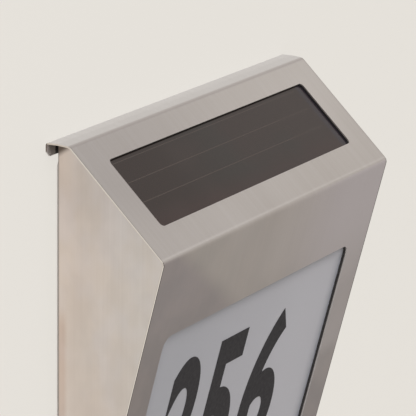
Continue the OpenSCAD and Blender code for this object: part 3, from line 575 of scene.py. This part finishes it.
# %% Soft finishes
rubber, tree, shader = finish("black_epdm_rubber", "131212", 0.75)
stirred(tree, shader, blotches(tree, (0.4, 0.4, 0.4)), ("0e0d0d", "181717"), (0.68, 0.82), 0.01)
dress(rubber, "solar_gasket", "cover_gasket", "door_seal", "button_seal")
grey_rubber, tree, shader = finish("charcoal_epdm_rubber", "363433", 0.7)
stirred(tree, shader, blotches(tree, (0.4, 0.4, 0.4)), ("2f2d2c", "3d3b3a"), (0.62, 0.78), 0.01)
dress(grey_rubber, "opal_gasket")
foam, tree, shader = finish("closed_cell_foam", "3a3a3c", 0.95)
stirred(tree, shader, blotches(tree, (0.5, 0.5, 0.5), 4.0), ("2b2b2d", "47474a"), (0.9, 1.0), 0.12)
dress(foam, "spacer_pads")
silicone, tree, shader = finish("moulded_silicone", "6b6d6f", 0.55, Specular_IOR_Level=0.4)
stirred(tree, shader, blotches(tree, (0.35, 0.35, 0.35)), ("646668", "717375"), (0.5, 0.62), 0.006)
dress(silicone, "power_button")

# %% [markdown]
# ## Thin-film solar glass
# A thin-film panel is a sheet of clear glass with a brown-black film on its rear face. A laser cuts
# the film into cells, and the cuts show as hair lines along the panel. The film is not quite even,
# so some patches lean to red. The dark base carries the film and the shader's clear surface is the
# glass. First come the cuts: a pattern that repeats with the cells' pitch, kept inside the panel.

# %% Solar glass and its cuts
CELL_PITCH, FIRST_CUT, LAST_CUT = 9.3 * MM, 12.3 * MM, 36 * MM
CUT_WIDTH, CUT_LEFT, CUT_RIGHT = 0.36 * MM, -73 * MM, 68 * MM
LIMITS = ((0, CUT_LEFT, "GREATER_THAN"), (0, CUT_RIGHT, "LESS_THAN"), (1, -LAST_CUT, "GREATER_THAN"))
glass, tree, shader = finish("thin_film_glass", "211d1b", 0.16, IOR=1.52)
place = on_face(tree, SLOPE_START, SLOPE_TURN)
down = put(tree, "Math", place["Y"], -1.0, -FIRST_CUT, operation="MULTIPLY_ADD")
off = put(tree, "Math", down, CELL_PITCH / 2, operation="PINGPONG")
cuts = put(tree, "Math", off, CUT_WIDTH / 2, operation="LESS_THAN")
for axis, limit, test in LIMITS:
    within = put(tree, "Math", place[axis], limit, operation=test)
    cuts = put(tree, "Math", cuts, within, operation="MULTIPLY")
print("cuts every", CELL_PITCH / MM, "mm,", CUT_WIDTH / MM, "mm wide")

# %% [markdown]
# The film goes from red-brown at the left to a greyer brown, with soft patches. It is redder along
# the panel's lower edge, and cooler at the right rim, where no cell lies.

# %% The film's browns
brown = put(tree, "MapRange", place["X"], -60 * MM, 10 * MM, **SOFT)
film = put(tree, "Mix", brown, "20120e", "25201d", **OVER)
patches = put(tree, "MapRange", blotches(tree, (45, 30, 30), 1.0), 0.42, 0.62, **SOFT)
film = put(tree, "Mix", patches, film, "2a1f1c", **OVER)
low_band = put(tree, "MapRange", place["Y"], -33 * MM, -43 * MM, 0.0, 0.45, **SOFT)
film = put(tree, "Mix", low_band, film, "341c1a", **OVER)
right_rim = put(tree, "MapRange", place["X"], 69.5 * MM, 72 * MM, **SOFT)
film = put(tree, "Mix", right_rim, film, "2b252b", **OVER)
feed(tree, shader.inputs["Base Color"], put(tree, "Mix", cuts, film, "3d322d", **OVER))
stirred(tree, shader, blotches(tree, (14, 14, 14)), roughness=(0.12, 0.2))
dress(glass, "solar_panel")

# %% [markdown]
# ## Opal acrylic
# The window is a milky acrylic sheet with a satin face. Light wanders inside it, so it looks even in
# the middle and falls off towards the steel, where the sheet is covered. That fall is painted shade,
# driven by the distance from the window's edge, and painted light makes the milk a little lighter to
# the right.

# %% Opal acrylic
WINDOW_W, WINDOW_H, WINDOW_MIDDLE = 148.6 * MM, 100.8 * MM, 86 * MM
CORNER_ROUND, FALL_START, FALL_END = 3 * MM, -2 * MM, 8 * MM
opal, tree, shader = finish("satin_opal_acrylic", "d6d7da", 0.42, IOR=1.49)
x, y, _ = on_face(tree, FRONT_START, FRONT_TURN)
side = put(tree, "Math", x, operation="ABSOLUTE")
side = put(tree, "Math", WINDOW_W / 2, side, operation="SUBTRACT")
end = put(tree, "Math", y, WINDOW_MIDDLE, operation="ADD")
end = put(tree, "Math", end, operation="ABSOLUTE")
end = put(tree, "Math", WINDOW_H / 2, end, operation="SUBTRACT")
inward = put(tree, "Math", side, end, CORNER_ROUND, operation="SMOOTH_MIN")
# Painted shade towards the window's edge.
painted_lit_share = put(tree, "MapRange", inward, FALL_START, FALL_END, **SOFT)
# Painted light: the milk is a little lighter to the right.
to_middle = put(tree, "MapRange", x, -75 * MM, 20 * MM, **SOFT)
milk = put(tree, "Mix", to_middle, "b2b5bd", "bbbdc5", **OVER)
to_right = put(tree, "MapRange", x, 5 * MM, 50 * MM, **SOFT)
milk = put(tree, "Mix", to_right, milk, "c1c3cb", **OVER)
feed(tree, shader.inputs["Base Color"], put(tree, "Mix", painted_lit_share, "a2a6b0", milk, **OVER))
stirred(tree, shader, blotches(tree, (0.5, 0.5, 0.5)), roughness=(0.38, 0.46), height=0.002)
dress(opal, "opal_diffuser")

# %% [markdown]
# ## Moulded plastics
# The housing, its cover and the battery door are white ABS, moulded in a tool with a fine spark
# finish, so they are matt with a small even grain, drawn 0.5 mm coarse. Connectors are ivory nylon,
# the switch and the chip black moulding compounds.

# %% Plastics
abs_plastic, tree, shader = finish("white_moulded_abs", "dddbd7", 0.5, IOR=1.54)
stirred(tree, shader, blotches(tree, (0.5, 0.5, 0.5), 3.0), ("d8d6d3", "e3e1de"), (0.45, 0.58), 0.02)
dress(abs_plastic, "inner_housing", "rear_cover", "battery_door")
nylon, tree, shader = finish("ivory_nylon", "d9d2bb", 0.45)
stirred(tree, shader, blotches(tree, (0.8, 0.8, 0.8)), ("d2cab2", "e0dac6"), (0.4, 0.5), 0.005)
dress(nylon, "board_connectors")
compound, tree, shader = finish("black_moulding_compound", "222224", 0.6)
stirred(tree, shader, blotches(tree, (0.2, 0.2, 0.2)), ("1b1b1d", "2a2a2c"), (0.55, 0.68), 0.005)
dress(compound, "charge_chip", "tact_switch")

# %% [markdown]
# ## Boards and battery
# Nothing in here shows while the light is closed, but each piece has its own finish. The boards wear
# solder mask, a thin glossy lacquer. The cell has a shrunk plastic sleeve, glossy and a little wavy,
# that leaves its end cap bare, and its spring and contact are plated with nickel, warm and bright.

# %% Boards and battery
CELL_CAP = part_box("battery_cell")[1].x - 2.2 * MM
mask_green, tree, shader = finish("green_solder_mask", "14532f", 0.3, Coat_Weight=0.4)
stirred(tree, shader, blotches(tree, (1.2, 1.2, 0.8), 0.0), ("0f4a29", "1c6339"), (0.26, 0.36), 0.01)
dress(mask_green, "control_board")
mask_white, tree, shader = finish("white_solder_mask", "e6e5e0", 0.3, Coat_Weight=0.3)
stirred(tree, shader, blotches(tree, (2.5, 1.0, 1.0), 0.0), ("dedcd5", "edece8"), (0.26, 0.36), 0.01)
dress(mask_white, "led_board")
sleeve, tree, shader = finish("battery_shrink_sleeve", "2f7a4c", 0.28, Coat_Weight=0.3)
bare = put(tree, "Math", parts(tree, "Object")["X"], CELL_CAP, operation="GREATER_THAN")
feed(tree, shader.inputs["Base Color"], put(tree, "Mix", bare, "2f7a4c", "c9c6be", **OVER))
feed(tree, shader.inputs["Metallic"], bare)
stirred(tree, shader, blotches(tree, (9, 3, 3)), roughness=(0.22, 0.34), height=0.01)
dress(sleeve, "battery_cell")
nickel, tree, shader = finish("nickel_plated_spring_steel", "cfc4ae", 0.22, 1.0)
stirred(tree, shader, blotches(tree, (1, 1, 1)), ("c2b69f", "d6ccb8"), (0.18, 0.3), 0.003)
dress(nickel, "battery_spring", "battery_contact")

# %% [markdown]
# ## Parts on the boards
# The coil is sintered ferrite, a dull dark ceramic. The capacitor's can wears a blue sleeve. Each LED
# is a drop of clear silicone over yellow phosphor.

# %% Parts on the boards
ferrite, tree, shader = finish("sintered_ferrite", "38332f", 0.7)
stirred(tree, shader, blotches(tree, (0.3, 0.3, 0.3), 4.0), ("2c2825", "443e39"), (0.62, 0.8), 0.02)
dress(ferrite, "inductor")
can, tree, shader = finish("capacitor_sleeve", "1d2748", 0.35, Coat_Weight=0.2)
stirred(tree, shader, blotches(tree, (1, 4, 1)), ("182040", "243056"), (0.3, 0.42), 0.004)
dress(can, "capacitor")
phosphor, tree, shader = finish("silicone_over_phosphor", "e8cf63", 0.4)
stirred(tree, shader, blotches(tree, (0.3, 0.3, 0.3)), ("e0c455", "efdb7d"), (0.34, 0.46), 0.01)
dress(phosphor, "leds")

# %% [markdown]
# ## Screws
# A screw starts on a lathe, which turns its head, neck and point. Spinning a profile would do too,
# but a disc that is extruded and scaled from step to step keeps its faces in even rings. Each kind is
# modelled once, head up at the origin: a countersunk one for the cover, three pan heads, and the
# button head that locks the light to its wall plate.

# %% Turned blanks
PAN = ((1.2, 0), (1.75, 0.1), (2.08, 0.38), (2.2, 0.75), (2.2, 1), (1.02, 1.05))
SMALL_PAN = ((1.1, 0), (1.6, 0.12), (1.9, 0.45), (2, 0.8), (2, 1.2), (0.82, 1.25))
BUTTON = ((1.6, 0), (2.3, 0.15), (2.75, 0.5), (3, 1.1), (3, 2), (1.24, 2.05))


def turned(steps, sides=24):
    """A closed turned piece: a disc extruded and scaled down through (radius, depth) steps in mm."""
    clear_selection()
    bpy.ops.mesh.primitive_circle_add(vertices=sides, radius=steps[0][0] * MM, fill_type="NGON")
    piece = bpy.context.object
    bpy.ops.object.mode_set(mode="EDIT")
    for (r0, d0), (r1, d1) in zip(steps, steps[1:]):
        bpy.ops.mesh.extrude_region_move(TRANSFORM_OT_translate={"value": (0, 0, (d0 - d1) * MM)})
        bpy.ops.transform.resize(value=(r1 / r0, r1 / r0, 1), center_override=(0, 0, -d1 * MM))
    bpy.ops.mesh.select_all(action="SELECT")
    bpy.ops.mesh.normals_make_consistent(inside=False)
    bpy.ops.object.mode_set(mode="OBJECT")
    print("blank", size_text(piece))
    return piece


sunk = turned(((2.45, 0), (2.6, 0.12), (1.25, 1.3), (1.02, 1.6), (1.02, 5.2), (0.35, 6)))
pan = turned((*PAN, (1.02, 6.2), (0.35, 7)))
small = turned((*SMALL_PAN, (0.82, 4.4), (0.6, 4.8)))
led_pan = turned((*SMALL_PAN, (0.82, 6.6), (0.3, 7.2)))
button_head = turned((*BUTTON, (1.24, 11.6), (0.9, 12)), 32)

# %% [markdown]
# A press stamps the drive into the head, and a Boolean modifier takes its shape out in the same way.
# Two narrow sockets at right angles make a cross, and one with six sides makes the hexagon of the
# button head. What the cut leaves closer together than a hundredth of a millimetre is merged.

# %% Drives
SOCKET_FLOOR, SOCKET_MOUTH, SLOT_WIDTH, SLOT_SIDES = 0.75, 1.05, 0.24, 16
CUT_MERGE = 0.01


def merged(piece, reach):
    """Joins a piece's points that lie closer than reach mm, and drops what that leaves loose."""
    clear_selection()
    piece.select_set(True)
    bpy.context.view_layer.objects.active = piece
    bpy.ops.object.mode_set(mode="EDIT")
    bpy.ops.mesh.select_all(action="SELECT")
    bpy.ops.mesh.remove_doubles(threshold=reach * MM)
    bpy.ops.mesh.dissolve_degenerate(threshold=reach * MM)
    bpy.ops.mesh.delete_loose()
    bpy.ops.object.mode_set(mode="OBJECT")


def stamped(piece, sides, radius, depth, squeeze=1.0, turn=0.0):
    """Cuts a tapered socket of some sides into the head, squeezed to a slot when asked."""
    clear_selection()
    bpy.ops.mesh.primitive_cone_add(vertices=sides, radius1=radius * SOCKET_FLOOR * MM,
                                    radius2=radius * SOCKET_MOUTH * MM, depth=2 * depth * MM,
                                    rotation=(0, 0, turn), scale=(1, squeeze, 1))
    tool = bpy.context.object
    bpy.ops.object.transform_apply(location=True, rotation=True, scale=True)
    cut = piece.modifiers.new("socket", "BOOLEAN")
    cut.operation, cut.object = "DIFFERENCE", tool
    clear_selection()
    bpy.context.view_layer.objects.active = piece
    piece.select_set(True)
    bpy.ops.object.modifier_apply(modifier=cut.name)
    bpy.data.objects.remove(tool)
    merged(piece, CUT_MERGE)


for piece, reach, deep in ((sunk, 1.3, 0.9), (pan, 1.2, 0.7), (small, 1.0, 0.75), (led_pan, 1.0, 0.75)):
    for turn in (0, math.pi / 2):
        stamped(piece, SLOT_SIDES, reach, deep, SLOT_WIDTH, turn)
stamped(button_head, 6, 1.1, 1.2)
print("faces after the cut:", [len(p.data.polygons) for p in (sunk, pan, small, led_pan, button_head)])

# %% [markdown]
# The thread is a small triangle that the Screw modifier winds up the shank. Its two root corners lie
# inside the shank, so that the crest alone stands out and no gap shows.

# %% Threads
ROOT, FLANK, STEPS_A_TURN, SMOOTH_BELOW = 0.96, 0.42, 16, math.radians(35)


def threaded(piece, core, crest, pitch, start, turns):
    """Winds a thread of the given pitch round the shank, from start down, and joins it on."""
    clear_selection()
    bpy.ops.mesh.primitive_circle_add(vertices=3, radius=pitch * MM / 2, rotation=(math.pi / 2, 0, 0))
    wire = bpy.context.object
    profile = ((core * ROOT, FLANK), (crest, 0.0), (core * ROOT, -FLANK))
    for point, (out, rise) in zip(wire.data.vertices, profile):
        point.co = (out * MM, rise * pitch * MM, 0)
    bpy.ops.object.transform_apply(location=True, rotation=True, scale=True)
    wind = wire.modifiers.new("thread", "SCREW")
    wind.steps = wind.render_steps = STEPS_A_TURN
    wind.screw_offset, wind.iterations = -pitch * MM, turns
    bpy.ops.object.modifier_apply(modifier=wind.name)
    bpy.ops.object.mode_set(mode="EDIT")
    bpy.ops.mesh.select_all(action="SELECT")
    bpy.ops.mesh.fill_holes(sides=3)
    bpy.ops.transform.translate(value=(0, 0, -start * MM))
    bpy.ops.mesh.normals_make_consistent(inside=False)
    bpy.ops.object.mode_set(mode="OBJECT")
    piece.select_set(True)
    bpy.context.view_layer.objects.active = piece
    bpy.ops.object.join()
    bpy.ops.object.shade_smooth_by_angle(angle=SMOOTH_BELOW)
    piece.data.materials.append(screw_steel)
    print(len(piece.data.polygons), "faces,", size_text(piece))


threaded(sunk, 1.02, 1.25, 0.8, 1.9, 4)
threaded(pan, 1.02, 1.25, 0.8, 1.6, 5)
threaded(small, 0.82, 1.0, 0.4, 1.6, 7)
threaded(led_pan, 0.82, 1.0, 0.5, 1.7, 9)
threaded(button_head, 1.24, 1.5, 0.5, 2.4, 18)

# %% [markdown]
# ## Screws in their places
# A CAD node of screws is several solids in one mesh. Points of one screw are closer together than
# the screws are, so they are gathered by distance, and each group's box gives a screw's place.

# %% Put the screws in
def spots(name, reach):
    """The boxes of a node's separate solids, each as its lowest and highest corner."""
    groups = []
    for point in (v.co for v in nodes[name].data.vertices):
        group = next((g for g in groups if (point - g[0]).length < reach), None)
        if group is None:
            group = []
            groups.append(group)
        group.append(point.copy())
    return [corners(group) for group in groups]


def fitted(pattern, name, facing, reach=0.01):
    """Copies a screw to each solid of a node: its head faces along an axis, as far out as the solid."""
    turn = facing.to_track_quat("Z", "Y").to_matrix().to_4x4()
    for number, (low, high) in enumerate(spots(name, reach), 1):
        middle = (low + high) / 2
        head = middle + facing * abs((high - low).dot(facing)) / 2
        screw = bpy.data.objects.new(f"{name.rstrip('s')}_{number}", pattern.data.copy())
        scene.collection.objects.link(screw)
        screw.data.transform(Matrix.Translation(head) @ turn)
        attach(screw, "lock" if name == "lock_screw" else "lamp")
        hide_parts(name)
    print(number, "x", name)
    bpy.data.objects.remove(pattern)


fitted(sunk, "cover_screws", Vector((0, 1, 0)))
fitted(pan, "housing_screws", Vector((0, 1, 0)))
fitted(small, "board_screws", Vector((0, -1, 0)))
fitted(led_pan, "led_screws", Vector((0, 0, -1)))
fitted(button_head, "lock_screw", Vector((0, 0, -1)), 0.02)

# %% [markdown]
# ## The house number
# The number is three plain digits, bold and narrow, cut from thin black film and stuck on the opal
# sheet. Each digit is typed flat with a slightly swelled outline, made a mesh, squeezed to its own
# width and laid at its place on the sheet.

# %% Digits
FILM_T, OPAL_FACE = 0.15 * MM, -1.7 * MM
DIGIT_H, DIGIT_TOP, SWELL, CURVE_STEPS = 68 * MM, 54 * MM, 0.026, 12
DIGITS = (("2", 35.5, 61.5), ("5", 66.5, 93.5), ("6", 102.0, 131.5))
film_pieces = []
for digit, left, right_end in DIGITS:
    clear_selection()
    bpy.ops.object.text_add()
    piece = bpy.context.object
    piece.data.body = digit
    piece.data.offset = SWELL
    piece.data.resolution_u = CURVE_STEPS
    bpy.ops.object.convert(target="MESH")
    low, high = corners([v.co for v in piece.data.vertices])
    wide, tall = (right_end - left) * MM / (high.x - low.x), DIGIT_H / (high.y - low.y)
    piece.data.transform(Matrix.Translation((-low.x, -low.y, 0)))
    piece.data.transform(Matrix.Diagonal((wide, tall, 1, 1)))
    piece.data.transform(Matrix.Translation((left * MM - HALF_WIDTH, -DIGIT_TOP - DIGIT_H, OPAL_FACE)))
    film_pieces.append(piece)
    print(digit, size_text(piece))

# %% [markdown]
# The three are joined, because they are laid as one transfer, and turned onto the front. A Solidify
# modifier then gives the film its thickness, outwards from the opal. Its finish is a matt black vinyl
# with the least trace of blue.

# %% Number film
film_black, tree, shader = finish("black_vinyl_film", "1a1921", 0.6)
stirred(tree, shader, blotches(tree, (1.5, 1.5, 1.5)), ("16151d", "1d1c24"), (0.54, 0.66))
clear_selection()
for piece in film_pieces:
    piece.select_set(True)
bpy.context.view_layer.objects.active = film_pieces[0]
bpy.ops.object.join()
number = bpy.context.object
number.name = "number_film"
merged(number, 0.02)
number.data.transform(Matrix.Translation(FRONT_START) @ Matrix.Rotation(FRONT_TURN, 4, "X"))
thick = number.modifiers.new("film", "SOLIDIFY")
thick.thickness = FILM_T
thick.offset = 1
bpy.ops.object.modifier_apply(modifier=thick.name)
bpy.ops.object.shade_flat()
number.data.materials.clear()
number.data.materials.append(film_black)
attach(number, "lamp")
print("number_film", size_text(number))

# %% [markdown]
# ## Last line

# %% Finish
print("the light is dressed")
